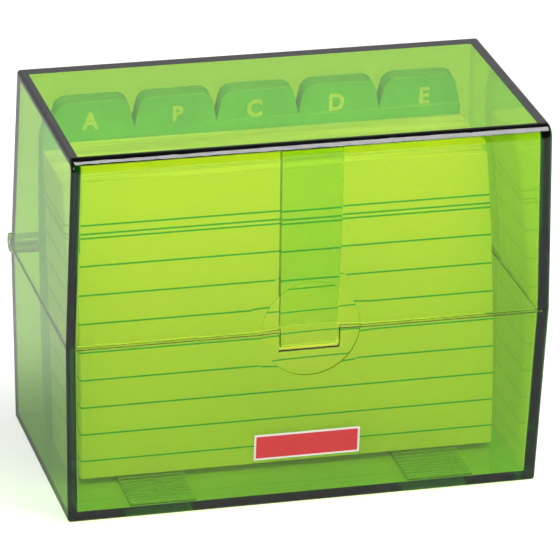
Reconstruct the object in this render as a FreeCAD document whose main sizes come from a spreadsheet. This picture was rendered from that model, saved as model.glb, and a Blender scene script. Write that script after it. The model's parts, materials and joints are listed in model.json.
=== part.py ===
"""Card index box: a clear case with a hinged lid, a stack of ruled cards and an A to Z set of guides.

Frame: millimetres, +Z up, front of the case towards -Y, origin at the middle of the case's underside.
Every depth in the sheet is measured backwards from the front face at the rim of the base.
"""
import FreeCAD, Part
import math
import os
import Sketcher

Vector = FreeCAD.Vector
Rotation = FreeCAD.Rotation

# Driving dimensions. Each cell holds one plain number: millimetres, degrees or a count.
DRIVING = {
    # contents
    "card_width": 74.0,          # small index card, 74 x 52
    "card_height": 52.0,
    "card_thickness": 0.15,
    "card_pitch": 0.163,
    "cards_per_pack": 9,
    "pack_count": 10,
    "packs_per_group": 2,
    "group_gap": 0.12,           # air between two groups of packs, so that they can tip
    "card_front_lean": 9.8,      # the first card's top lies this far behind its foot
    "card_front_bow": 2.1,       # how far the first cards sag forward of the line from foot to top
    "card_rear_bow": 0.4,
    "card_scatter": 0.12,        # sideways unevenness of the stack
    "guide_height": 59.15,       # with its tab
    "tab_height": 5.4,
    "guide_thickness": 0.085,
    "guide_foot_pitch": 0.28,
    "guide_top_pitch": 0.13,
    "guide_front_bow": 3.2,      # how far a guide bulges behind the line from foot to top
    "guide_rear_bow": 2.4,
    "guide_rear_lean": 6.6,      # the last guide's top lies this far behind its foot
    "tab_count": 5,
    "tab_inset": 1.2,
    "tab_radius": 2.3,
    "stack_shift": 0.35,         # the loose stack stands a little right of the middle
    "stack_gap": 0.2,            # air between the last card and the first guide
    "back_gap": 0.45,            # air between the last guide's top and the back wall
    "foot_gap": 0.02,
    "side_gap": 3.7,
    "head_gap": 3.5,
    # case
    "case_depth": 45.5,
    "base_height": 32.9,
    "wall": 1.8,
    "floor_plate": 1.5,
    "top_plate": 1.65,
    "draft_angle": 1.4,
    "corner_radius": 0.6,
    "edge_radius": 0.5,
    "front_edge_radius": 2.3,
    "inner_radius": 0.3,
    "rim_gap": 0.08,
    "lip_inset": 1.2,
    "lip_height": 0.8,
    "lip_clearance": 0.05,
    # floor ribs
    "rib_width": 11.7,
    "rib_thickness": 0.6,
    "rib_height": 0.5,
    "rib_pitch": 1.2,
    "rib_spread": 24.7,          # from the middle of the case to the middle of a patch
    # closing tongue and finger dish
    "tongue_width": 10.2,
    "tongue_draft": 0.45,
    "tongue_thickness": 3.2,
    "tongue_tip_thickness": 2.4,
    "tongue_reach": 3.25,
    "notch_clearance": 0.25,
    "notch_gap": 0.5,            # window left open under the tongue
    "notch_slope": 29.0,         # the window's sill falls inwards
    "dish_radius": 8.65,
    "dish_depth": 0.7,
    "dish_step": 0.25,           # upright wall round the dish's border
    "boss_radius": 12.5,
    "boss_height": 0.34,
    "boss_root": 0.02,           # how deep the swelling's rim is sunk in the wall
    # hinge
    "hinge_offset": 0.9,         # axis behind the back face
    "hinge_rise": 0.2,           # axis above the rim
    "barrel_radius": 1.7,
    "barrel_clearance": 0.12,
    "knuckle_length": 3.25,
    "knuckle_gap": 0.1,
    "pin_diameter": 1.0,
    "pin_play": 0.05,
    "pin_recess": 0.2,
    # front label
    "label_width": 18.7,
    "label_height": 4.75,
    "label_thickness": 0.1,
    "label_level": 11.2,
}

GUIDE_LETTERS = "A B C D E F G H I J K L M N O P Q R S T U V W X YZ".split()

doc = FreeCAD.newDocument("card_index_box")
sheet = doc.addObject("Spreadsheet::Sheet", "Sizes")
for row, (alias, number) in enumerate(DRIVING.items(), start=1):
    sheet.set(f"A{row}", alias)
    sheet.set(f"B{row}", str(number))
    sheet.setAlias(f"B{row}", alias)
doc.recompute()

# Derived dimensions, as expressions on the sheet's cells.
RIM = "Sizes.base_height"
FOOT = "(Sizes.floor_plate + Sizes.rib_height + Sizes.foot_gap)"
CASE_WIDTH = "(Sizes.card_width + 2 * Sizes.side_gap + 2 * Sizes.wall)"
CASE_HEIGHT = ("(Sizes.floor_plate + Sizes.rib_height + Sizes.guide_height + Sizes.head_gap"
               " + Sizes.top_plate)")
LID_RIM = "(Sizes.base_height + Sizes.rim_gap)"
LID_HEIGHT = f"({CASE_HEIGHT} - {LID_RIM})"
FRONT = "(-Sizes.case_depth / 2)"
LIP_DROP = "(Sizes.lip_height - Sizes.rim_gap)"
HINGE_Y = "(Sizes.case_depth / 2 + Sizes.hinge_offset)"
HINGE_Z = "(Sizes.base_height + Sizes.hinge_rise)"
LID_KNUCKLE = f"({CASE_WIDTH} / 2 - 2 * Sizes.knuckle_length - Sizes.knuckle_gap)"
BASE_KNUCKLE = f"({CASE_WIDTH} / 2 - Sizes.knuckle_length)"
PACK_PITCH = "(Sizes.cards_per_pack * Sizes.card_pitch)"
GROUP_DEPTH = f"(Sizes.packs_per_group * {PACK_PITCH} - Sizes.card_pitch + Sizes.card_thickness)"
GROUP_PITCH = f"({GROUP_DEPTH} + Sizes.group_gap)"
GUIDE_STEPS = len(GUIDE_LETTERS) - 1
REAR_TOP = (f"({FRONT} + Sizes.case_depth - Sizes.wall - Sizes.back_gap - Sizes.guide_thickness"
            f" - ({FOOT} + Sizes.guide_height - {RIM}) * tan(Sizes.draft_angle))")
REAR_FOOT = f"({REAR_TOP} - Sizes.guide_rear_lean)"
FRONT_GUIDE_FOOT = f"({REAR_FOOT} - {GUIDE_STEPS} * Sizes.guide_foot_pitch)"
FRONT_GUIDE_LEAN = f"({REAR_TOP} - {GUIDE_STEPS} * Sizes.guide_top_pitch - {FRONT_GUIDE_FOOT})"
GROUP_COUNT = "(Sizes.pack_count / Sizes.packs_per_group)"
FIRST_CARD_FOOT = (f"({FRONT_GUIDE_FOOT} - Sizes.stack_gap - {GROUP_DEPTH}"
                   f" - ({GROUP_COUNT} - 1) * {GROUP_PITCH})")
TOP_SHARE = "(Sizes.card_height / Sizes.guide_height)"
CARD_REAR_LEAN = (f"({FRONT_GUIDE_LEAN} * {TOP_SHARE}"
                  f" + 4 * Sizes.guide_front_bow * {TOP_SHARE} * (1 - {TOP_SHARE}))")
SWELLING_ANGLE = "(2 * atan(Sizes.boss_height / Sizes.boss_radius))"


def value(expression):
    """Number that an expression on the sheet gives."""
    return float(FreeCAD.Units.Quantity(doc.Sizes.evalExpression(expression)).Value)


def bind(item, **expressions):
    """Tie an object's properties to expressions, with __ standing for a dot."""
    for name, expression in expressions.items():
        item.setExpression(name.replace("__", "."), expression)


def add(kind, name, **expressions):
    item = doc.addObject(kind, name)
    bind(item, **expressions)
    return item


def place(item, x="0", y="0", z="0"):
    bind(item, Placement__Base__x=x, Placement__Base__y=y, Placement__Base__z=z)
    return item


def box(name, x, y, z, length, width, height):
    item = add("Part::Box", name, Length=length, Width=width, Height=height)
    return place(item, x, y, z)


def rod_along_x(name, x, y, z, radius, length):
    """Cylinder whose axis runs along +X from the given point."""
    item = add("Part::Cylinder", name, Radius=radius, Height=length)
    item.Placement = FreeCAD.Placement(Vector(), Rotation(Vector(0, 1, 0), 90))
    return place(item, x, y, z)


def ball(name, y, z, radius):
    return place(add("Part::Sphere", name, Radius=radius), "0", y, z)


def fuse(name, shapes):
    item = doc.addObject("Part::MultiFuse", name)
    item.Shapes = shapes
    item.Refine = False
    return item


def common(name, shapes):
    item = doc.addObject("Part::MultiCommon", name)
    item.Shapes = shapes
    item.Refine = False
    return item


def cut(name, base, tool):
    item = doc.addObject("Part::Cut", name)
    item.Base = base
    item.Tool = tool
    item.Refine = False
    return item


# ---------------------------------------------------------------- sketches and case features

def rectangle(sketch, tag, x, y, width, depth):
    """Add an axis-parallel rectangle to a sketch: lower corner and both sides bound to expressions."""
    first = sketch.GeometryCount
    corners = [Vector(1, 1, 0), Vector(3, 1, 0), Vector(3, 3, 0), Vector(1, 3, 0)]
    for start in range(4):
        sketch.addGeometry(Part.LineSegment(corners[start], corners[(start + 1) % 4]), False)
    for side in range(4):
        joined = first + (side + 1) % 4
        sketch.addConstraint(Sketcher.Constraint("Coincident", first + side, 2, joined, 1))
    for side, direction in enumerate(("Horizontal", "Vertical", "Horizontal", "Vertical")):
        sketch.addConstraint(Sketcher.Constraint(direction, first + side))
    spans = (
        ("x", Sketcher.Constraint("DistanceX", -1, 1, first, 1, 1.0), x),
        ("y", Sketcher.Constraint("DistanceY", -1, 1, first, 1, 1.0), y),
        ("width", Sketcher.Constraint("DistanceX", first, 1, first, 2, 2.0), width),
        ("depth", Sketcher.Constraint("DistanceY", first + 1, 1, first + 1, 2, 2.0), depth),
    )
    for part, constraint, expression in spans:
        index = sketch.addConstraint(constraint)
        sketch.renameConstraint(index, f"{tag}_{part}")
        sketch.setExpression(f"Constraints.{tag}_{part}", expression)


def level_sketch(body, name, level):
    """Sketch parallel to the ground at a height given by an expression."""
    sketch = body.newObject("Sketcher::SketchObject", name)
    ground = [item for item in body.Origin.OriginFeatures if item.Role == "XY_Plane"][0]
    sketch.AttachmentSupport = [(ground, "")]
    sketch.MapMode = "FlatFace"
    sketch.setExpression("AttachmentOffset.Base.z", level)
    return sketch


def inset_rectangle(sketch, tag, inset):
    """Rectangle that lies inside the outline of the case by an inset."""
    rectangle(sketch, tag, f"-{CASE_WIDTH} / 2 + {inset}", f"{FRONT} + {inset}",
              f"{CASE_WIDTH} - 2 * ({inset})", f"Sizes.case_depth - 2 * ({inset})")


def block(body, name, level, length, upward):
    """Drafted outer block of one half of the case, growing from its rim."""
    sketch = level_sketch(body, name + "_outline", level)
    inset_rectangle(sketch, "rim", "0")
    pad = body.newObject("PartDesign::Pad", name)
    pad.Profile = sketch
    pad.Reversed = not upward
    bind(pad, Length=length, TaperAngle="-Sizes.draft_angle")
    return pad


def hollow(body, name, level, inset, depth, upward, drafted=True):
    """Pocket that opens at the rim and keeps the wall's thickness all the way in."""
    sketch = level_sketch(body, name + "_outline", level)
    inset_rectangle(sketch, "inside", inset)
    pocket = body.newObject("PartDesign::Pocket", name)
    pocket.Profile = sketch
    pocket.Reversed = upward
    bind(pocket, Length=depth)
    if drafted:
        bind(pocket, TaperAngle="-Sizes.draft_angle")
    return pocket


def round_edges(body, name, source, radius, chosen):
    """Fillet on the edges of a feature for which chosen(edge) is true."""
    doc.recompute()
    names = [f"Edge{i}" for i, edge in enumerate(source.Shape.Edges, start=1) if chosen(edge)]
    fillet = body.newObject("PartDesign::Fillet", name)
    fillet.Base = (source, names)
    bind(fillet, Radius=radius)
    return fillet


def is_upright(edge):
    ends = edge.Vertexes
    return len(ends) == 2 and abs(ends[0].Z - ends[1].Z) > 5.0


def is_level_at(edge, level):
    return all(abs(vertex.Z - level) < 0.01 for vertex in edge.Vertexes)


def is_front_edge(edge, level):
    return is_level_at(edge, level) and edge.CenterOfMass.y < -value("Sizes.case_depth") / 4


def is_inner(edge):
    """Edge of the hollow: nearer the middle than the outside faces are."""
    middle = edge.CenterOfMass
    outer_x = value(CASE_WIDTH) / 2 - value("Sizes.wall") / 2
    outer_y = value("Sizes.case_depth") / 2 - value("Sizes.wall") / 2
    level_shift = abs(middle.z - value(RIM)) * math.tan(math.radians(value("Sizes.draft_angle")))
    return abs(middle.x) < outer_x - level_shift and abs(middle.y) < outer_y - level_shift


# ---------------------------------------------------------------- features that both halves share

def sphere_on_front(name, half, radius, reach):
    """Ball whose cap stands on the drafted front wall at the rim, reach deep inside its face."""
    tilt = "sin(Sizes.draft_angle)" if half == "lid" else "(-sin(Sizes.draft_angle))"
    y = f"{FRONT} - ({radius} - ({reach})) * cos(Sizes.draft_angle)"
    z = f"{RIM} + ({radius} - ({reach})) * {tilt}"
    return ball(f"{half}_{name}", y, z, radius)


DISH_BALL = "((Sizes.dish_radius ^ 2 + Sizes.dish_depth ^ 2) / (2 * Sizes.dish_depth))"


def dish(half):
    """Shallow round hollow for a fingertip, centred on the rim, with a small step round its border."""
    hollow_ball = sphere_on_front("dish_ball", half, DISH_BALL, "Sizes.dish_depth + Sizes.dish_step")
    border = add("Part::Cylinder", f"{half}_dish_border", Radius="Sizes.dish_radius",
                 Height="2 * Sizes.wall")
    border.Placement = FreeCAD.Placement(Vector(), Rotation(Vector(-1, 0, 0), 90))
    turn, rise = ("-", "-") if half == "base" else ("+", "+")
    bind(border, Placement__Rotation__Angle=f"90 {turn} Sizes.draft_angle")
    place(border, "0", f"{FRONT} - Sizes.wall * cos(Sizes.draft_angle)",
          f"{RIM} {rise} Sizes.wall * sin(Sizes.draft_angle)")
    return common(f"{half}_finger_dish", [hollow_ball, border])


def swelling_outline(half):
    """Half section of the swelling behind the dish: a flat cap that flares out into the wall."""
    root = "(Sizes.wall / 2 - Sizes.boss_root)"
    low, high = value(root), value(f"{root} + Sizes.boss_height")
    bend, rim = value("Sizes.dish_radius"), value("Sizes.boss_radius")
    turn = math.radians(value(SWELLING_ANGLE))
    cap_radius, flare_radius = bend / math.sin(turn), (rim - bend) / math.sin(turn)
    cap = Part.Circle(Vector(0, high - cap_radius, 0), Vector(0, 0, 1), cap_radius)
    flare = Part.Circle(Vector(rim, low + flare_radius, 0), Vector(0, 0, 1), flare_radius)
    upward, downward = math.radians(90), math.radians(270)
    sketch = doc.addObject("Sketcher::SketchObject", f"{half}_swelling_outline")
    sketch.addGeometry([
        Part.LineSegment(Vector(0, 0, 0), Vector(0, high, 0)),
        Part.ArcOfCircle(cap, upward - turn, upward),
        Part.ArcOfCircle(flare, downward - turn, downward),
        Part.LineSegment(Vector(rim, low, 0), Vector(rim, 0, 0)),
        Part.LineSegment(Vector(rim, 0, 0), Vector(0, 0, 0)),
    ], False)
    axis, crown, skirt, side, back = range(5)
    start, end, centre = 1, 2, 3
    origin, upright_axis = -1, -2
    sketch.addConstraint([
        Sketcher.Constraint("Coincident", axis, start, origin, start),
        Sketcher.Constraint("Coincident", back, end, axis, start),
        Sketcher.Constraint("Vertical", axis),
        Sketcher.Constraint("Coincident", crown, end, axis, end),
        Sketcher.Constraint("PointOnObject", crown, centre, upright_axis),
        Sketcher.Constraint("Tangent", crown, start, skirt, start),
        Sketcher.Constraint("Coincident", skirt, end, side, start),
        Sketcher.Constraint("Vertical", side),
        Sketcher.Constraint("Vertical", skirt, centre, side, start),
        Sketcher.Constraint("Coincident", side, end, back, start),
        Sketcher.Constraint("Horizontal", back),
    ])
    spans = (
        ("rim", Sketcher.Constraint("DistanceX", origin, start, back, start, rim), "Sizes.boss_radius"),
        ("bend", Sketcher.Constraint("DistanceX", origin, start, crown, start, bend), "Sizes.dish_radius"),
        ("root", Sketcher.Constraint("DistanceY", origin, start, side, start, low), root),
        ("crest", Sketcher.Constraint("DistanceY", origin, start, axis, end, high),
         f"{root} + Sizes.boss_height"),
    )
    for part, constraint, expression in spans:
        index = sketch.addConstraint(constraint)
        sketch.renameConstraint(index, part)
        sketch.setExpression(f"Constraints.{part}", expression)
    return sketch


def boss(half):
    """Low swelling inside the front wall that backs the dish."""
    swelling = doc.addObject("Part::Revolution", f"{half}_swelling")
    swelling.Source = swelling_outline(half)
    swelling.Axis = Vector(0, 1, 0)
    swelling.Solid = True
    swelling.Placement = FreeCAD.Placement(Vector(), Rotation(Vector(1 if half == "base" else -1, 0, 0), 1))
    bind(swelling, Placement__Rotation__Angle="Sizes.draft_angle")
    rise = "+" if half == "base" else "-"
    place(swelling, "0", f"{FRONT} + Sizes.wall / 2 * cos(Sizes.draft_angle)",
          f"{RIM} {rise} Sizes.wall / 2 * sin(Sizes.draft_angle)")
    low = f"{RIM} - 2 * Sizes.boss_radius" if half == "base" else LID_RIM
    high = f"{RIM} - Sizes.lip_height" if half == "base" else f"{LID_RIM} + 2 * Sizes.boss_radius"
    limit = box(f"{half}_boss_limit", "-2 * Sizes.boss_radius", f"{FRONT} + Sizes.wall / 2", low,
                "4 * Sizes.boss_radius", "Sizes.wall + 2 * Sizes.boss_height", f"{high} - ({low})")
    return common(f"{half}_boss", [swelling, limit])


def barrel(name, side, inner, length, radius):
    """Rod round the hinge axis on one side of the case: inner is its end nearer the middle."""
    start = inner if side > 0 else f"-({inner}) - ({length})"
    return rod_along_x(name, start, HINGE_Y, HINGE_Z, radius, length)


def hinge_rods(half):
    """Knuckles to add, room to clear for the other half's knuckles, and pin bores."""
    if half == "base":
        own, other = BASE_KNUCKLE, LID_KNUCKLE
        room_length = "(Sizes.knuckle_length + 2 * Sizes.knuckle_gap)"
        bore, bore_start = "Sizes.pin_diameter / 2", f"({own} - Sizes.knuckle_gap / 2)"
    else:
        own, other = LID_KNUCKLE, BASE_KNUCKLE
        room_length = "(3 * Sizes.knuckle_length)"
        bore, bore_start = "(Sizes.pin_diameter / 2 + Sizes.pin_play)", f"({own} - Sizes.knuckle_length)"
    knuckles, rooms, bores = [], [], []
    for side, tag in ((-1, "left"), (1, "right")):
        knuckles.append(barrel(f"{half}_knuckle_{tag}", side, own, "Sizes.knuckle_length",
                               "Sizes.barrel_radius"))
        rooms.append(barrel(f"{half}_room_{tag}", side, f"({other} - Sizes.knuckle_gap)", room_length,
                            "(Sizes.barrel_radius + Sizes.barrel_clearance)"))
        bores.append(barrel(f"{half}_bore_{tag}", side, bore_start, "4 * Sizes.knuckle_length", bore))
    return knuckles, rooms, bores


# ---------------------------------------------------------------- base

def floor_ribs():
    """Two patches of low cross ribs on the floor, repeated from the front wall to the back."""
    body = doc.addObject("PartDesign::Body", "rib_body")
    body.AllowCompound = True
    inside = "(Sizes.wall + Sizes.base_height * tan(Sizes.draft_angle))"
    sketch = level_sketch(body, "rib_outline", "Sizes.floor_plate")
    for side, tag in ((-1, "left"), (1, "right")):
        rectangle(sketch, tag, f"{side} * Sizes.rib_spread - Sizes.rib_width / 2",
                  f"{FRONT} + {inside} + Sizes.rib_thickness / 2", "Sizes.rib_width", "Sizes.rib_thickness")
    pad = body.newObject("PartDesign::Pad", "first_rib")
    pad.Profile = sketch
    bind(pad, Length="Sizes.rib_height")
    doc.recompute()
    room = value(f"Sizes.case_depth - 2 * {inside} - 2 * Sizes.rib_thickness")
    pattern = body.newObject("PartDesign::LinearPattern", "ribs")
    pattern.Originals = [pad]
    depthwise = [item for item in body.Origin.OriginFeatures if item.Role == "Y_Axis"][0]
    pattern.Direction = (depthwise, [""])
    pattern.Occurrences = int(room // value("Sizes.rib_pitch")) + 1
    bind(pattern, Length=f"({pattern.Occurrences} - 1) * Sizes.rib_pitch")
    body.Tip = pattern
    return body


def base_tray():
    body = doc.addObject("PartDesign::Body", "base_body")
    outer = block(body, "base_block", RIM, RIM, upward=False)
    uprights = round_edges(body, "base_corners", outer, "Sizes.corner_radius", is_upright)
    round_edges(body, "base_foot_edges", uprights, "Sizes.edge_radius",
                lambda edge: is_level_at(edge, 0.0))
    inside = hollow(body, "base_hollow", RIM, "Sizes.wall", f"{RIM} - Sizes.floor_plate", upward=False)
    round_edges(body, "base_inner_corners", inside, "Sizes.inner_radius",
                lambda edge: is_inner(edge) and is_upright(edge))
    hollow(body, "base_rebate", RIM, "Sizes.lip_inset", "Sizes.lip_height", upward=False, drafted=False)
    knuckles, rooms, bores = hinge_rods("base")
    notch_width = "(Sizes.tongue_width + 2 * Sizes.notch_clearance)"
    notch_drop = "(Sizes.tongue_reach + Sizes.notch_gap)"
    notch = box("tongue_notch", f"-{notch_width} / 2", f"{FRONT} - Sizes.wall", f"{RIM} - {notch_drop}",
                notch_width, "3 * Sizes.wall + Sizes.boss_height", f"{notch_drop} + Sizes.wall")
    sill = box("tongue_sill", "0", "0", "0", notch_width, "3 * Sizes.wall", "Sizes.notch_gap")
    sill.Placement = FreeCAD.Placement(Vector(), Rotation(Vector(-1, 0, 0), 1))
    bind(sill, Placement__Rotation__Angle="Sizes.notch_slope")
    place(sill, f"-{notch_width} / 2", f"{FRONT} + Sizes.dish_depth", f"{RIM} - {notch_drop}")
    walls = cut("base_with_room", body, fuse("base_rooms", rooms))
    solid = fuse("base_solid", [walls, boss("base")] + knuckles)
    shell = cut("base_shell", solid, fuse("base_openings", [dish("base"), notch, sill] + bores))
    return fuse("base_tray", [shell, floor_ribs()])


# ---------------------------------------------------------------- lid

def tongue():
    """Strip that thickens the lid's front wall and hangs below its rim into the base's notch."""
    length = f"({LID_HEIGHT} - Sizes.top_plate + Sizes.tongue_reach + Sizes.rim_gap)"
    widening = f"({length} * tan(Sizes.tongue_draft))"
    strip = add("Part::Wedge", "tongue_strip",
                Xmin="-Sizes.tongue_width / 2", Xmax="Sizes.tongue_width / 2",
                X2min=f"-Sizes.tongue_width / 2 - {widening}", X2max=f"Sizes.tongue_width / 2 + {widening}",
                Ymin="0", Ymax=length,
                Zmin="-Sizes.tongue_thickness", Zmax="0", Z2min="-Sizes.tongue_thickness", Z2max="0")
    strip.Placement = FreeCAD.Placement(Vector(), Rotation(Vector(1, 0, 0), 90))
    bind(strip, Placement__Rotation__Angle="90 - Sizes.draft_angle")
    place(strip, "0", f"{FRONT} - (Sizes.tongue_reach + Sizes.rim_gap) * tan(Sizes.draft_angle)",
          f"{RIM} - Sizes.tongue_reach")
    relief = box("tongue_tip_relief", "-Sizes.tongue_width", f"{FRONT} + Sizes.tongue_tip_thickness",
                 f"{RIM} - 2 * Sizes.tongue_reach", "2 * Sizes.tongue_width", "2 * Sizes.tongue_thickness",
                 f"2 * Sizes.tongue_reach + {LID_RIM} - {RIM}")
    return cut("tongue", strip, relief)


def lid_shell():
    body = doc.addObject("PartDesign::Body", "lid_body")
    outer = block(body, "lid_block", LID_RIM, LID_HEIGHT, upward=True)
    top = value(CASE_HEIGHT)
    front = round_edges(body, "lid_front_edge", outer, "Sizes.front_edge_radius",
                        lambda edge: is_front_edge(edge, top))
    round_edges(body, "lid_corners", front, "Sizes.corner_radius",
                lambda edge: is_upright(edge) or (is_level_at(edge, top) and edge.CenterOfMass.y > 0))
    inside = hollow(body, "lid_hollow", LID_RIM, "Sizes.wall", f"{LID_HEIGHT} - Sizes.top_plate",
                    upward=True)
    round_edges(body, "lid_inner_corners", inside, "Sizes.inner_radius",
                lambda edge: is_inner(edge) and is_upright(edge))
    sketch = level_sketch(body, "lip_outline", LID_RIM)
    inset_rectangle(sketch, "outside", "(Sizes.lip_inset + Sizes.lip_clearance)")
    inset_rectangle(sketch, "inside", "Sizes.wall")
    lip = body.newObject("PartDesign::Pad", "lid_lip")
    lip.Profile = sketch
    lip.Reversed = True
    bind(lip, Length=LIP_DROP)
    knuckles, rooms, bores = hinge_rods("lid")
    walls = cut("lid_with_room", body, fuse("lid_rooms", rooms))
    solid = fuse("lid_solid", [walls, boss("lid"), tongue()] + knuckles)
    return cut("lid_shell", solid, fuse("lid_openings", [dish("lid")] + bores))


def hinge_pin(side, tag):
    inner = f"({LID_KNUCKLE} + Sizes.pin_recess)"
    length = "(2 * Sizes.knuckle_length + Sizes.knuckle_gap - 2 * Sizes.pin_recess)"
    return barrel(f"hinge_pin_{tag}", side, inner, length, "Sizes.pin_diameter / 2")


def front_label():
    """Thin plate that lies on the drafted front face of the base."""
    face = f"({FRONT} + ({RIM} - Sizes.label_level + Sizes.label_height / 2) * tan(Sizes.draft_angle))"
    plate = add("Part::Box", "front_label", Length="Sizes.label_width",
                Width="Sizes.label_thickness", Height="Sizes.label_height")
    plate.Placement = FreeCAD.Placement(Vector(), Rotation(Vector(1, 0, 0), 1))
    bind(plate, Placement__Rotation__Angle="Sizes.draft_angle")
    return place(plate, "-Sizes.label_width / 2", f"{face} - Sizes.label_thickness / cos(Sizes.draft_angle)",
                 "Sizes.label_level - Sizes.label_height / 2")


# ---------------------------------------------------------------- cards and guides

def bent_sheet(name, foot, lean, bow, height, thickness, bulge):
    """Tube with a sheet for one wall: it stands on its foot, leans back and bows forward or backward."""
    rise = f"sqrt(({height}) ^ 2 - ({lean}) ^ 2)"
    radius = f"(({height}) ^ 2 / (8 * ({bow})) + ({bow}) / 2)"
    sign, opposite = ("+", "-") if bulge == "forward" else ("-", "+")
    y = f"{foot} + ({lean}) / 2 {sign} {rise} / ({height}) * ({radius} - ({bow}))"
    z = f"{FOOT} + {rise} / 2 {opposite} ({lean}) / ({height}) * ({radius} - ({bow}))"
    back_radius = f"({radius} {opposite} ({thickness}))"
    outer, inner = (radius, back_radius) if bulge == "forward" else (back_radius, radius)
    skin = rod_along_x(name + "_skin", f"-{CASE_WIDTH} / 2", y, z, outer, CASE_WIDTH)
    core = rod_along_x(name + "_core", f"-{CASE_WIDTH} / 2", y, z, inner, CASE_WIDTH)
    return cut(name + "_tube", skin, core), rise


def card_blank(group):
    """First ruled card of a group: from group to group the cards stand straighter."""
    share = f"({group} / ({GROUP_COUNT} - 1))"
    foot = f"({FIRST_CARD_FOOT} + {group} * {GROUP_PITCH})"
    lean = f"(Sizes.card_front_lean + {share} * ({CARD_REAR_LEAN} - Sizes.card_front_lean))"
    bow = f"(Sizes.card_front_bow + {share} * (Sizes.card_rear_bow - Sizes.card_front_bow))"
    name = f"card_{group + 1}"
    tube, rise = bent_sheet(name, foot, lean, bow, "Sizes.card_height", "Sizes.card_thickness", "forward")
    slab = box(name + "_slab", "-Sizes.card_width / 2", FRONT, FOOT,
               "Sizes.card_width", "Sizes.case_depth", rise)
    return common(name + "_blank", [slab, tube])


def card_pack(number, member, blank):
    """One pack of ruled cards: copies of its group's blank, one behind the other."""
    copies = []
    for index in range(int(value("Sizes.cards_per_pack"))):
        copy = doc.addObject("App::Link", f"card_{number:02d}_{index + 1}")
        copy.LinkedObject = blank
        order = number * 31 + index * 137
        place(copy, f"Sizes.stack_shift + Sizes.card_scatter * sin({order})",
              f"{member} * {PACK_PITCH} + {index} * Sizes.card_pitch")
        copies.append(copy)
    pack = doc.addObject("Part::Compound", f"ruled_cards_{number:02d}")
    pack.Links = copies
    return pack


def card_packs():
    packs = []
    members = int(value("Sizes.packs_per_group"))
    for group in range(int(value(GROUP_COUNT))):
        blank = card_blank(group)
        packs += [card_pack(group * members + member + 1, member, blank) for member in range(members)]
    return packs


def guide_outline(name, position, rise):
    """Front view of a guide as a deep slab: the body, and its tab at one of the positions."""
    pitch = "(Sizes.card_width / Sizes.tab_count)"
    left = f"(-Sizes.card_width / 2 + {position} * {pitch} + Sizes.stack_shift)"
    shoulder = f"({rise} - Sizes.tab_height)"
    slab = box(name + "_slab", "-Sizes.card_width / 2 + Sizes.stack_shift", FRONT, FOOT,
               "Sizes.card_width", "Sizes.case_depth", shoulder)
    tab = add("Part::Wedge", name + "_tab", Xmin="0", Xmax=pitch, X2min="Sizes.tab_inset",
              X2max=f"{pitch} - Sizes.tab_inset", Ymin="0", Ymax="Sizes.tab_height", Zmin="0",
              Zmax="Sizes.case_depth", Z2min="0", Z2max="Sizes.case_depth")
    tab.Placement = FreeCAD.Placement(Vector(), Rotation(Vector(1, 0, 0), 90))
    place(tab, left, f"{FRONT} + Sizes.case_depth", f"{FOOT} + {shoulder}")
    doc.recompute()
    top = value(f"{FOOT} + {rise}") - 0.01
    radius = value("Sizes.tab_radius")
    rounded = doc.addObject("Part::Fillet", name + "_tab_rounded")
    rounded.Base = tab
    rounded.Edges = [(i, radius, radius) for i, edge in enumerate(tab.Shape.Edges, start=1)
                     if abs(edge.tangentAt(edge.FirstParameter).y) > 0.99 and edge.CenterOfMass.z > top]
    return fuse(name + "_outline", [slab, rounded])


def index_guide(index, letters):
    """One guide of the set: its lean, bow and place run evenly from the first guide to the last."""
    share = f"({index} / {GUIDE_STEPS})"
    foot = f"({FRONT_GUIDE_FOOT} + {index} * Sizes.guide_foot_pitch)"
    lean = f"({FRONT_GUIDE_LEAN} + {share} * (Sizes.guide_rear_lean - {FRONT_GUIDE_LEAN}))"
    bow = f"(Sizes.guide_front_bow + {share} * (Sizes.guide_rear_bow - Sizes.guide_front_bow))"
    name = f"guide_{letters.lower()}"
    tube, rise = bent_sheet(name, foot, lean, bow, "Sizes.guide_height", "Sizes.guide_thickness", "backward")
    position = index % int(value("Sizes.tab_count"))
    return common(name, [guide_outline(name, position, rise), tube])


# ---------------------------------------------------------------- build, check and write

def build():
    nodes = [base_tray(), lid_shell(), hinge_pin(-1, "left"), hinge_pin(1, "right"), front_label()]
    nodes += card_packs()
    nodes += [index_guide(index, letters) for index, letters in enumerate(GUIDE_LETTERS)]
    doc.recompute()
    return nodes


def check(nodes):
    """Stop if any object failed, or any piece is not a sound solid."""
    failed = [item.Label for item in doc.Objects if "Invalid" in item.State or "Error" in item.State]
    if failed:
        raise RuntimeError(f"objects that failed: {failed}")
    for node in nodes:
        if node.Shape.isNull() or not node.Shape.isValid() or not node.Shape.Solids:
            raise RuntimeError(f"{node.Label} is not a valid solid")


def write(nodes):
    os.makedirs("parts", exist_ok=True)
    for node in nodes:
        node.Shape.exportStep(f"parts/{node.Label}.step")


pieces = build()
check(pieces)
write(pieces)
for piece in pieces:
    print(f"{piece.Label:18s} solids {len(piece.Shape.Solids):2d}  volume {piece.Shape.Volume:9.2f} mm3")
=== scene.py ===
"""Looks of a clear green card index box with ruled cards and lettered guides.

The pieces dress the box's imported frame. Everything is in metres in the frame's own axes:
+Z up, the front with its closing tongue towards -Y.
"""
import json
import math
import bpy
from mathutils import Matrix, Vector
from mathutils.bvhtree import BVHTree


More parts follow.
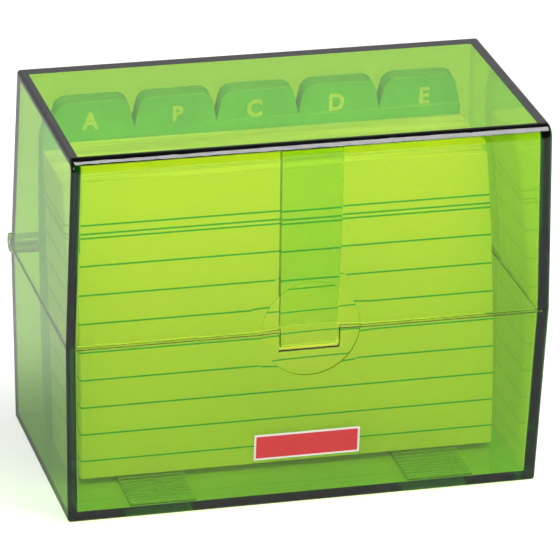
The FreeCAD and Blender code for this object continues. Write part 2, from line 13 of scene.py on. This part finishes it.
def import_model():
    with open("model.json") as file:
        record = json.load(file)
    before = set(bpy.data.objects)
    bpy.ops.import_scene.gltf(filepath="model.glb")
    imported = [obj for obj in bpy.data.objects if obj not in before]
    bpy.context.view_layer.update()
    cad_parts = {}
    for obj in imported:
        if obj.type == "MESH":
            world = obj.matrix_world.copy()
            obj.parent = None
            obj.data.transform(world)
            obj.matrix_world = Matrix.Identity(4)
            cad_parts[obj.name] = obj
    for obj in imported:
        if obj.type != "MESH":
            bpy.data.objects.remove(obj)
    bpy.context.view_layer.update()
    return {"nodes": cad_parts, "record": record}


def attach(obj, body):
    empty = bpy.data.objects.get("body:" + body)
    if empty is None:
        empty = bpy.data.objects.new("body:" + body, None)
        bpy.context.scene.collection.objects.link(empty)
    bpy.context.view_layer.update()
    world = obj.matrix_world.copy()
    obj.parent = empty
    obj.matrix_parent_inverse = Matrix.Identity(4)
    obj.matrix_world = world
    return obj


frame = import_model()

MM = 0.001

# Camera
CAMERA_PLACE = Vector((-0.2010, -0.72665, 0.3590))
CAMERA_AZIMUTH = math.radians(-15.504)
CAMERA_ELEVATION = math.radians(23.429)
CAMERA_ROLL = math.radians(1.633)
CAMERA_LENS = 303.68
SENSOR_WIDTH = 36.0

# Clear green plastic
PLASTIC_IOR = 1.57
WALL = 1.8 * MM
WALL_TINT = (0.65, 0.91, 0.14)       # share of red, green and blue that one wall lets through
DENSITY_MARGIN = 1.1                 # keeps each part of the absorption colour above zero
SURFACE_TINT = (0.86, 0.86, 0.82, 1.0)
SHADOW_TINT = (1.0, 0.80, 0.80, 1.0)  # share of a lamp's light that each surface lets through
POLISH = 0.012                       # roughness between the scratches
SCRATCHING = 0.03                    # more roughness in a scratch
WAVE_DEPTH = 0.02 * MM

# Ruling of the cards, as heights above the ground (mm)
RULE_FIRST = 5.3
RULE_PITCH = 4.886
RULE_COUNT = 8
HEAD_RULES = (44.1, 44.8, 46.2)
RULE_WIDTH = 0.30
RULE_FADE = (0.35, 0.65)             # from full to none, as shares of the width
RULE_COLOUR = (0.05, 0.47, 0.50, 1.0)
CARD_COLOUR = (0.96, 0.86, 0.70, 1.0)
CARD_GAP_SHADE = (0.60, 0.60, 0.48, 1.0)      # painted shade for the gaps between stacked cards, seen on their upper edges
CARD_CLOUD_COLOUR = (0.85, 0.80, 0.70, 1.0)
CARD_CLOUD_SHARE = 0.04
CARD_GRAIN = 0.0003 * MM

# Letters on the guides' tabs
LETTER_HEIGHT = 2.95 * MM
LETTER_WEIGHT = 0.15 * MM           # added all round the strokes
LETTER_NARROWING = 0.94
LETTER_DROP = 3.7 * MM               # from the top of the tab to the middle of the letter
LETTER_RAISE = 0.05 * MM
CAPITAL_SHARE = 0.695                # height of a capital as a share of the font size
AHEAD_OF_TABS = -0.05                # where the rays that find a tab's front start (m)
LETTER_PLACES = (-29.7, -14.05, -0.2, 14.65, 30.75)
TAB_COUNT = len(LETTER_PLACES)
GUIDE_LETTERS = "A B C D E F G H I J K L M N O P Q R S T U V W X YZ".split()
INK_COLOURS = ((0.80, 0.84, 0.62, 1.0), (0.88, 0.90, 0.70, 1.0))

# Board of the guides
BOARD_COLOURS = ((0.15, 0.60, 0.055, 1.0), (0.17, 0.66, 0.065, 1.0))
# upward cut edges of the board: its paler core, lightened further as a painted highlight
BOARD_TOP_CORE_AND_HIGHLIGHT = (0.50, 0.84, 0.36, 1.0)
# painted shade on the board's cut edges that face sideways, away from the light
BOARD_SIDE_EDGE_SHADE = (0.06, 0.24, 0.10, 1.0)
BOARD_GRAIN = 0.0005 * MM
TAB_TOP_HIGHLIGHT_HEIGHT = 0.28 * MM             # height of the painted highlight strip along the top of a tab
# colour and strength of the painted highlight strip, where the tab tops catch light
TAB_TOP_HIGHLIGHT_COLOUR = (0.42, 0.80, 0.26, 1.0)
TAB_TOP_HIGHLIGHT_SHARE = 0.7

# Front label (mm)
LABEL_MIDDLE = 11.2
LABEL_SIZE = (18.7, 4.75)
LABEL_BORDER = 0.32
LABEL_BORDER_BLUR = 0.08
LABEL_BORDER_COLOUR = (0.86, 0.84, 0.80, 1.0)
LABEL_REDS = ((0.62, 0.012, 0.018, 1.0), (0.74, 0.025, 0.03, 1.0))
LABEL_GRAIN = 0.004 * MM

# Hinge pins
STEEL_COLOUR = (0.62, 0.61, 0.58, 1.0)
STEEL_MARK_SPREAD = (6000.0, 300.0, 300.0)
STEEL_MARK_DEPTH = 0.004 * MM

# Studio
ROOM_LIGHT = 0.07                    # the room above and in front, in gloss and on matt surfaces
SWEEP_LIGHT = 0.62                   # the white sweep behind
THROUGH_LIGHT = 0.26                 # more of both in what is seen through the plastic
SWEEP_DEPTH = (-0.25, 0.35)          # Y of a direction, from the room to the sweep
SWEEP_HEIGHT = (0.85, 0.45)          # Z of a direction, from the room down to the sweep
FLOOR_COLOUR = (0.74, 0.74, 0.74, 1.0)
FLOOR_LEVEL = -0.25 * MM
FLOOR_HALF = 3.0
FLOOR_GLOW = 0.50                    # as seen straight
FLOOR_THROUGH = 0.10                 # as seen through the plastic, in front
FLOOR_THROUGH_MORE = 0.34            # what is added to it behind the box
FLOOR_BEHIND = (0.0, 0.12)           # Y over which that grows (m)
SOFTBOX_TARGET = Vector((0.0, 0.0, 0.03))
SOFTBOXES = (                        # name, place (m), side (m), power (W)
    ("top_softbox", (0.30, -0.25, 0.95), 0.5, 7.5),
    ("front_softbox", (-0.60, -0.95, 0.75), 0.8, 9.5),
)
WHITE = (1.0, 1.0, 1.0, 1.0)


# ---------------------------------------------------------------- node helpers

class Nodes:
    """Short ways to add nodes to a tree: each returns the node or its output."""

    def __init__(self, tree):
        self.tree = tree

    def node(self, kind, **settings):
        item = self.tree.nodes.new(kind)
        for name, setting in settings.items():
            setattr(item, name, setting)
        return item

    def feed(self, socket, source):
        if isinstance(source, bpy.types.NodeSocket):
            self.tree.links.new(source, socket)
        else:
            socket.default_value = source

    def math(self, operation, *sources):
        item = self.node("ShaderNodeMath", operation=operation)
        for socket, source in zip(item.inputs, sources):
            self.feed(socket, source)
        return item.outputs[0]

    def ramp(self, source, low, high):
        """Smooth step of a value: 0 at low, 1 at high."""
        item = self.node("ShaderNodeMapRange", interpolation_type="SMOOTHSTEP")
        for name, value in (("Value", source), ("From Min", low), ("From Max", high)):
            self.feed(item.inputs[name], value)
        return item.outputs["Result"]

    def mix(self, share, first, second):
        """Blend of two colours."""
        item = self.node("ShaderNodeMix", data_type="RGBA")
        self.feed(item.inputs["Factor"], share)
        self.feed(item.inputs[6], first)
        self.feed(item.inputs[7], second)
        return item.outputs[2]

    def parts(self, kind="Object"):
        """X, Y and Z of one kind of texture coordinate."""
        coordinates = self.node("ShaderNodeTexCoord")
        split = self.node("ShaderNodeSeparateXYZ")
        self.feed(split.inputs[0], coordinates.outputs[kind])
        return split.outputs

    def place(self, scale=(1.0, 1.0, 1.0)):
        """Object coordinates, stretched."""
        coordinates = self.node("ShaderNodeTexCoord")
        mapping = self.node("ShaderNodeMapping")
        mapping.inputs["Scale"].default_value = scale
        self.feed(mapping.inputs["Vector"], coordinates.outputs["Object"])
        return mapping.outputs["Vector"]

    def noise(self, vector, scale, detail=2.0):
        item = self.node("ShaderNodeTexNoise")
        for name, value in (("Vector", vector), ("Scale", scale), ("Detail", detail)):
            self.feed(item.inputs[name], value)
        return item.outputs["Fac"]

    def bump(self, height, distance):
        item = self.node("ShaderNodeBump")
        self.feed(item.inputs["Height"], height)
        item.inputs["Distance"].default_value = distance
        return item.outputs["Normal"]

    def group(self, group, **values):
        item = self.node("ShaderNodeGroup", node_tree=group)
        for name, value in values.items():
            self.feed(item.inputs[name.replace("_", " ")], value)
        return item


def new_group(name, inputs, outputs):
    """Shader node group with its sockets: the group, its helper, its input and its output node."""
    tree = bpy.data.node_groups.new(name, "ShaderNodeTree")
    for socket_name, kind, default in inputs:
        socket = tree.interface.new_socket(socket_name, in_out="INPUT", socket_type=kind)
        socket.default_value = default
    for socket_name, kind in outputs:
        tree.interface.new_socket(socket_name, in_out="OUTPUT", socket_type=kind)
    nodes = Nodes(tree)
    return tree, nodes, nodes.node("NodeGroupInput"), nodes.node("NodeGroupOutput")


def new_material(name):
    material = bpy.data.materials.new(name)
    material.use_nodes = True
    material.node_tree.nodes.clear()
    nodes = Nodes(material.node_tree)
    return material, nodes, nodes.node("ShaderNodeOutputMaterial")


def principled(nodes, **values):
    shader = nodes.node("ShaderNodeBsdfPrincipled")
    for name, value in values.items():
        nodes.feed(shader.inputs[name.replace("_", " ")], value)
    return shader


def dress(names, material):
    """Give CAD nodes one material."""
    for name in names:
        mesh = frame["nodes"][name].data
        mesh.materials.clear()
        mesh.materials.append(material)


# ---------------------------------------------------------------- shared effects

def paper_fibre_group():
    """Fine cloudy fibre of paper or board: a mask and a height."""
    tree, nodes, source, target = new_group(
        "paper_fibre",
        [("Scale", "NodeSocketFloat", 900.0)],
        [("Mask", "NodeSocketFloat"), ("Height", "NodeSocketFloat")])
    place = nodes.place()
    fine = nodes.noise(place, source.outputs["Scale"], 4.0)
    cloud = nodes.noise(place, 120.0, 3.0)
    nodes.feed(target.inputs["Height"], fine)
    nodes.feed(target.inputs["Mask"], nodes.ramp(cloud, 0.35, 0.7))
    return tree


def moulded_skin_group():
    """Moulded clear plastic: a height with its slow waves and a mask of hairline scratches."""
    tree, nodes, source, target = new_group(
        "moulded_skin",
        [("Wave Scale", "NodeSocketFloat", 45.0)],
        [("Height", "NodeSocketFloat"), ("Wear", "NodeSocketFloat")])
    waves = nodes.noise(nodes.place(), source.outputs["Wave Scale"], 0.0)
    hairs = nodes.noise(nodes.place((40.0, 55.0, 900.0)), 1.0, 1.0)
    nodes.feed(target.inputs["Height"], waves)
    nodes.feed(target.inputs["Wear"], nodes.ramp(hairs, 0.70, 0.78))
    return tree


def cut_edge_group():
    """Masks of a sheet's cut edges, the upward one and those at its sides, where painted light and
    shade are laid.
    """
    tree, nodes, _source, target = new_group(
        "cut_edge", [], [("Upward", "NodeSocketFloat"), ("Sideways", "NodeSocketFloat")])
    facing = nodes.parts("Normal")
    across = nodes.math("ABSOLUTE", facing["X"])
    nodes.feed(target.inputs["Upward"], nodes.ramp(facing["Z"], 0.6, 0.9))
    nodes.feed(target.inputs["Sideways"], nodes.ramp(across, 0.7, 0.9))
    return tree


PAPER_FIBRE = paper_fibre_group()
MOULDED_SKIN = moulded_skin_group()
CUT_EDGE = cut_edge_group()


# ---------------------------------------------------------------- materials

def clear_green_plastic():
    """Clear green moulded plastic: colour comes from the depth of plastic that light crosses."""
    material, nodes, output = new_material("clear_green_plastic")
    skin = nodes.group(MOULDED_SKIN)
    roughness = nodes.math("MULTIPLY_ADD", skin.outputs["Wear"], SCRATCHING, POLISH)
    waves = nodes.bump(skin.outputs["Height"], WAVE_DEPTH)
    shader = principled(nodes, Base_Color=SURFACE_TINT, Roughness=roughness, IOR=PLASTIC_IOR,
                        Transmission_Weight=1.0, Normal=waves)
    clear = nodes.node("ShaderNodeBsdfTransparent")
    clear.inputs["Color"].default_value = SHADOW_TINT
    path = nodes.node("ShaderNodeLightPath")
    mixed = nodes.node("ShaderNodeMixShader")
    nodes.feed(mixed.inputs[0], path.outputs["Is Shadow Ray"])
    nodes.feed(mixed.inputs[1], shader.outputs[0])
    nodes.feed(mixed.inputs[2], clear.outputs[0])
    nodes.feed(output.inputs["Surface"], mixed.outputs[0])
    loss = [-math.log(share) / WALL for share in WALL_TINT]
    density = max(loss) * DENSITY_MARGIN
    absorption = nodes.node("ShaderNodeVolumeAbsorption")
    absorption.inputs["Color"].default_value = [1.0 - part / density for part in loss] + [1.0]
    absorption.inputs["Density"].default_value = density
    nodes.feed(output.inputs["Volume"], absorption.outputs[0])
    return material


def line_mask(nodes, height, level, width):
    """1 on a level line of a given width, in millimetres, with soft edges."""
    away = nodes.math("ABSOLUTE", nodes.math("SUBTRACT", height, level))
    fade = nodes.ramp(away, RULE_FADE[0] * width, RULE_FADE[1] * width)
    return nodes.math("SUBTRACT", 1.0, fade)


def ruled_card():
    """Cream card with green rules, and painted shade between the cards on their upper edges,
    varying from sheet to sheet.
    """
    material, nodes, output = new_material("ruled_card")
    height = nodes.math("DIVIDE", nodes.parts()["Z"], MM)
    above_first = nodes.math("SUBTRACT", height, RULE_FIRST)
    steps = nodes.math("DIVIDE", above_first, RULE_PITCH)
    nearest = nodes.math("MULTIPLY", nodes.math("ROUND", steps), RULE_PITCH)
    body_line = line_mask(nodes, above_first, nearest, RULE_WIDTH)
    in_body = nodes.math("LESS_THAN", height, RULE_FIRST + (RULE_COUNT - 0.5) * RULE_PITCH)
    lines = nodes.math("MULTIPLY", body_line, in_body)
    for level in HEAD_RULES:
        lines = nodes.math("MAXIMUM", lines, line_mask(nodes, height, level, RULE_WIDTH))
    fibre = nodes.group(PAPER_FIBRE, Scale=1500.0)
    # painted shade: stripes along Y darken the upper edges where the cards meet
    gap_shade_stripes = nodes.noise(nodes.place((20.0, 1100.0, 30.0)), 1.0)
    edge_shade = nodes.mix(nodes.ramp(gap_shade_stripes, 0.35, 0.65), CARD_GAP_SHADE, CARD_COLOUR)
    edge = nodes.group(CUT_EDGE)
    shade = nodes.mix(edge.outputs["Upward"], CARD_COLOUR, edge_shade)
    cloud = nodes.math("MULTIPLY", fibre.outputs["Mask"], CARD_CLOUD_SHARE)
    paper = nodes.mix(cloud, shade, CARD_CLOUD_COLOUR)
    shader = principled(nodes, Base_Color=nodes.mix(lines, paper, RULE_COLOUR), Roughness=0.62,
                        Normal=nodes.bump(fibre.outputs["Height"], CARD_GRAIN))
    nodes.feed(output.inputs["Surface"], shader.outputs[0])
    return material


def top_of(node_name):
    """Highest corner of a CAD node."""
    corners = (vertex.co for vertex in frame["nodes"][node_name].data.vertices)
    return max(corners, key=lambda corner: corner.z)


def distance_below_tops(nodes):
    """How far a point lies below the line that the guides' tops make from the first to the last."""
    first = top_of("guide_a")
    last = top_of("guide_yz")
    rise = (last.z - first.z) / (last.y - first.y)
    point = nodes.parts()
    along = nodes.math("MULTIPLY", nodes.math("SUBTRACT", point["Y"], first.y), rise)
    line = nodes.math("ADD", along, first.z)
    return nodes.math("SUBTRACT", line, point["Z"])


def guide_board():
    """Green board of the index guides, with painted light: a highlight strip along each tab's top,
    shade on the sideways edges, and upward edges paler from the cut core and a painted highlight.
    """
    material, nodes, output = new_material("guide_board")
    fibre = nodes.group(PAPER_FIBRE, Scale=1100.0)
    board = nodes.mix(fibre.outputs["Mask"], *BOARD_COLOURS)
    edge = nodes.group(CUT_EDGE)
    below = distance_below_tops(nodes)
    # painted highlight: a pale strip just below the line of the guides' tops
    tab_top_highlight = nodes.math("SUBTRACT", 1.0, nodes.ramp(below, 0.0, TAB_TOP_HIGHLIGHT_HEIGHT))
    highlighted_board = nodes.mix(nodes.math("MULTIPLY", tab_top_highlight, TAB_TOP_HIGHLIGHT_SHARE), board, TAB_TOP_HIGHLIGHT_COLOUR)
    # painted shade on the sideways cut edges
    side_shaded_board = nodes.mix(edge.outputs["Sideways"], highlighted_board, BOARD_SIDE_EDGE_SHADE)
    # upward cut edges: paler core and painted highlight
    colour = nodes.mix(edge.outputs["Upward"], side_shaded_board, BOARD_TOP_CORE_AND_HIGHLIGHT)
    shader = principled(nodes, Base_Color=colour, Roughness=0.5,
                        Normal=nodes.bump(fibre.outputs["Height"], BOARD_GRAIN))
    nodes.feed(output.inputs["Surface"], shader.outputs[0])
    return material


def letter_ink():
    """Pale printed letters."""
    material, nodes, output = new_material("letter_ink")
    fibre = nodes.group(PAPER_FIBRE, Scale=1800.0)
    colour = nodes.mix(fibre.outputs["Mask"], *INK_COLOURS)
    shader = principled(nodes, Base_Color=colour, Roughness=0.45)
    nodes.feed(output.inputs["Surface"], shader.outputs[0])
    return material


def pin_steel():
    """Drawn steel wire of the hinge pins: fine rings of drawing marks along X."""
    material, nodes, output = new_material("pin_steel")
    marks = nodes.noise(nodes.place(STEEL_MARK_SPREAD), 1.0)
    roughness = nodes.math("MULTIPLY_ADD", marks, 0.2, 0.2)
    shader = principled(nodes, Base_Color=STEEL_COLOUR, Metallic=1.0, Roughness=roughness,
                        Normal=nodes.bump(marks, STEEL_MARK_DEPTH))
    nodes.feed(output.inputs["Surface"], shader.outputs[0])
    return material


def red_label():
    """Glossy red foil label with a narrow light border."""
    material, nodes, output = new_material("red_label")
    point = nodes.parts()
    across = nodes.math("ABSOLUTE", nodes.math("DIVIDE", point["X"], MM))
    height = nodes.math("DIVIDE", point["Z"], MM)
    up = nodes.math("ABSOLUTE", nodes.math("SUBTRACT", height, LABEL_MIDDLE))
    edge_x = nodes.math("SUBTRACT", LABEL_SIZE[0] / 2, across)
    edge_z = nodes.math("SUBTRACT", LABEL_SIZE[1] / 2, up)
    edge = nodes.math("MINIMUM", edge_x, edge_z)
    inner = nodes.ramp(edge, LABEL_BORDER - LABEL_BORDER_BLUR, LABEL_BORDER + LABEL_BORDER_BLUR)
    border = nodes.math("SUBTRACT", 1.0, inner)
    grain = nodes.noise(nodes.place(), 2500.0)
    red = nodes.mix(grain, *LABEL_REDS)
    shader = principled(nodes, Base_Color=nodes.mix(border, red, LABEL_BORDER_COLOUR),
                        Roughness=0.3, Coat_Weight=0.4, Normal=nodes.bump(grain, LABEL_GRAIN))
    nodes.feed(output.inputs["Surface"], shader.outputs[0])
    return material


# ---------------------------------------------------------------- pieces

def surface_of(node_name):
    """Ray-cast tree of a CAD node's mesh."""
    mesh = frame["nodes"][node_name].data
    corners = [vertex.co.copy() for vertex in mesh.vertices]
    faces = [tuple(face.vertices) for face in mesh.polygons]
    return BVHTree.FromPolygons(corners, faces)


def tab_letters(index, letters, body, material):
    """The letters printed on one guide's tab, laid on its curved front."""
    name = f"letters_{letters.lower()}"
    curve = bpy.data.curves.new(name, "FONT")
    curve.body = letters
    curve.align_x = "CENTER"
    curve.align_y = "CENTER"
    curve.size = LETTER_HEIGHT / CAPITAL_SHARE
    curve.offset = LETTER_WEIGHT
    curve.extrude = LETTER_RAISE / 2
    flat = bpy.data.objects.new(name + "_flat", curve)
    bpy.context.collection.objects.link(flat)
    bpy.context.view_layer.update()
    mesh = bpy.data.meshes.new_from_object(flat)
    bpy.data.objects.remove(flat)
    guide = f"guide_{letters.lower()}"
    surface = surface_of(guide)
    tab_top = top_of(guide).z
    middle_x = LETTER_PLACES[index % TAB_COUNT] * MM
    low = min(vertex.co.y for vertex in mesh.vertices)
    high = max(vertex.co.y for vertex in mesh.vertices)
    for vertex in mesh.vertices:
        x = middle_x + vertex.co.x * LETTER_NARROWING
        z = tab_top - LETTER_DROP + vertex.co.y - (low + high) / 2
        hit = surface.ray_cast(Vector((x, AHEAD_OF_TABS, z)), Vector((0.0, 1.0, 0.0)))[0]
        vertex.co = Vector((x, hit.y - LETTER_RAISE / 2 - vertex.co.z, z))
    mesh.materials.clear()
    mesh.materials.append(material)
    piece = bpy.data.objects.new(name, mesh)
    bpy.context.collection.objects.link(piece)
    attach(piece, body)


def all_letters(material):
    """Letters on every guide, each riding on its guide's body."""
    bodies = frame["record"]["behaviour"]["bodies"]
    body_of = {node: body for body, names in bodies.items() for node in names}
    for index, letters in enumerate(GUIDE_LETTERS):
        tab_letters(index, letters, body_of[f"guide_{letters.lower()}"], material)


# ---------------------------------------------------------------- studio

def camera():
    """Camera, with its frame turned a little about its own axis."""
    view = bpy.data.cameras.new("camera")
    view.lens = CAMERA_LENS
    view.sensor_width = SENSOR_WIDTH
    view.clip_start = 0.01
    back = Vector((math.sin(CAMERA_AZIMUTH) * math.cos(CAMERA_ELEVATION),
                   -math.cos(CAMERA_AZIMUTH) * math.cos(CAMERA_ELEVATION),
                   math.sin(CAMERA_ELEVATION)))
    right = (-back).cross(Vector((0.0, 0.0, 1.0))).normalized()
    up = right.cross(-back)
    rolled_right = right * math.cos(CAMERA_ROLL) + up * math.sin(CAMERA_ROLL)
    rolled_up = up * math.cos(CAMERA_ROLL) - right * math.sin(CAMERA_ROLL)
    turn = Matrix((rolled_right, rolled_up, back)).transposed()
    item = bpy.data.objects.new("camera", view)
    item.matrix_world = Matrix.Translation(CAMERA_PLACE) @ turn.to_4x4()
    bpy.context.collection.objects.link(item)
    bpy.context.scene.camera = item


def floor():
    """Pale matt floor that is seen lighter than it lights the box."""
    material, nodes, output = new_material("pale_floor")
    matte = nodes.node("ShaderNodeBsdfDiffuse")
    matte.inputs["Color"].default_value = FLOOR_COLOUR
    glow = nodes.node("ShaderNodeEmission")
    behind = nodes.ramp(nodes.parts()["Y"], *FLOOR_BEHIND)
    glow_through = nodes.math("MULTIPLY_ADD", behind, FLOOR_THROUGH_MORE, FLOOR_THROUGH)
    path = nodes.node("ShaderNodeLightPath")
    through = nodes.math("MULTIPLY", path.outputs["Is Transmission Ray"], glow_through)
    straight = nodes.math("MULTIPLY", path.outputs["Is Camera Ray"], FLOOR_GLOW)
    nodes.feed(glow.inputs["Strength"], nodes.math("MAXIMUM", through, straight))
    both = nodes.node("ShaderNodeAddShader")
    nodes.feed(both.inputs[0], matte.outputs[0])
    nodes.feed(both.inputs[1], glow.outputs[0])
    nodes.feed(output.inputs["Surface"], both.outputs[0])
    mesh = bpy.data.meshes.new("floor")
    corners = [(x * FLOOR_HALF, y * FLOOR_HALF, FLOOR_LEVEL)
               for x, y in ((-1, -1), (1, -1), (1, 1), (-1, 1))]
    mesh.from_pydata(corners, [], [(0, 1, 2, 3)])
    mesh.materials.append(material)
    item = bpy.data.objects.new("floor", mesh)
    bpy.context.collection.objects.link(item)


def world():
    """White sweep behind the object, and a dimmer room above and in front of it."""
    sky = bpy.data.worlds.new("studio")
    bpy.context.scene.world = sky
    sky.use_nodes = True
    sky.node_tree.nodes.clear()
    nodes = Nodes(sky.node_tree)
    output = nodes.node("ShaderNodeOutputWorld")
    room = nodes.node("ShaderNodeBackground")
    direction = nodes.parts("Generated")
    behind = nodes.ramp(direction["Y"], *SWEEP_DEPTH)
    low = nodes.ramp(direction["Z"], *SWEEP_HEIGHT)
    sweep = nodes.math("MULTIPLY", behind, low)
    path = nodes.node("ShaderNodeLightPath")
    through = nodes.math("MULTIPLY", path.outputs["Is Transmission Ray"], THROUGH_LIGHT)
    graded = nodes.math("MULTIPLY_ADD", sweep, SWEEP_LIGHT - ROOM_LIGHT, ROOM_LIGHT)
    nodes.feed(room.inputs["Strength"], nodes.math("ADD", graded, through))
    white = nodes.node("ShaderNodeBackground")
    white.inputs["Strength"].default_value = 1.0
    mixed = nodes.node("ShaderNodeMixShader")
    nodes.feed(mixed.inputs[0], path.outputs["Is Camera Ray"])
    nodes.feed(mixed.inputs[1], room.outputs[0])
    nodes.feed(mixed.inputs[2], white.outputs[0])
    for shader in (room, white):
        shader.inputs["Color"].default_value = WHITE
    nodes.feed(output.inputs["Surface"], mixed.outputs[0])


def softbox(name, place, side, power):
    """Square lamp that faces the box."""
    light = bpy.data.lights.new(name, "AREA")
    light.shape = "RECTANGLE"
    light.size = light.size_y = side
    light.energy = power
    item = bpy.data.objects.new(name, light)
    toward = SOFTBOX_TARGET - Vector(place)
    turn = toward.to_track_quat("-Z", "Y").to_matrix().to_4x4()
    item.matrix_world = Matrix.Translation(place) @ turn
    bpy.context.collection.objects.link(item)


def studio():
    world()
    floor()
    for settings in SOFTBOXES:
        softbox(*settings)


# ---------------------------------------------------------------- the box

bpy.context.scene.view_settings.view_transform = "Standard"
bpy.context.scene.cycles.max_bounces = 20
bpy.context.scene.cycles.transmission_bounces = 20
bpy.context.scene.cycles.transparent_max_bounces = 24
camera()
studio()
dress(["base_tray", "lid_shell"], clear_green_plastic())
dress([name for name in frame["nodes"] if name.startswith("ruled_cards")], ruled_card())
dress([name for name in frame["nodes"] if name.startswith("guide_")], guide_board())
dress(["hinge_pin_left", "hinge_pin_right"], pin_steel())
dress(["front_label"], red_label())
all_letters(letter_ink())
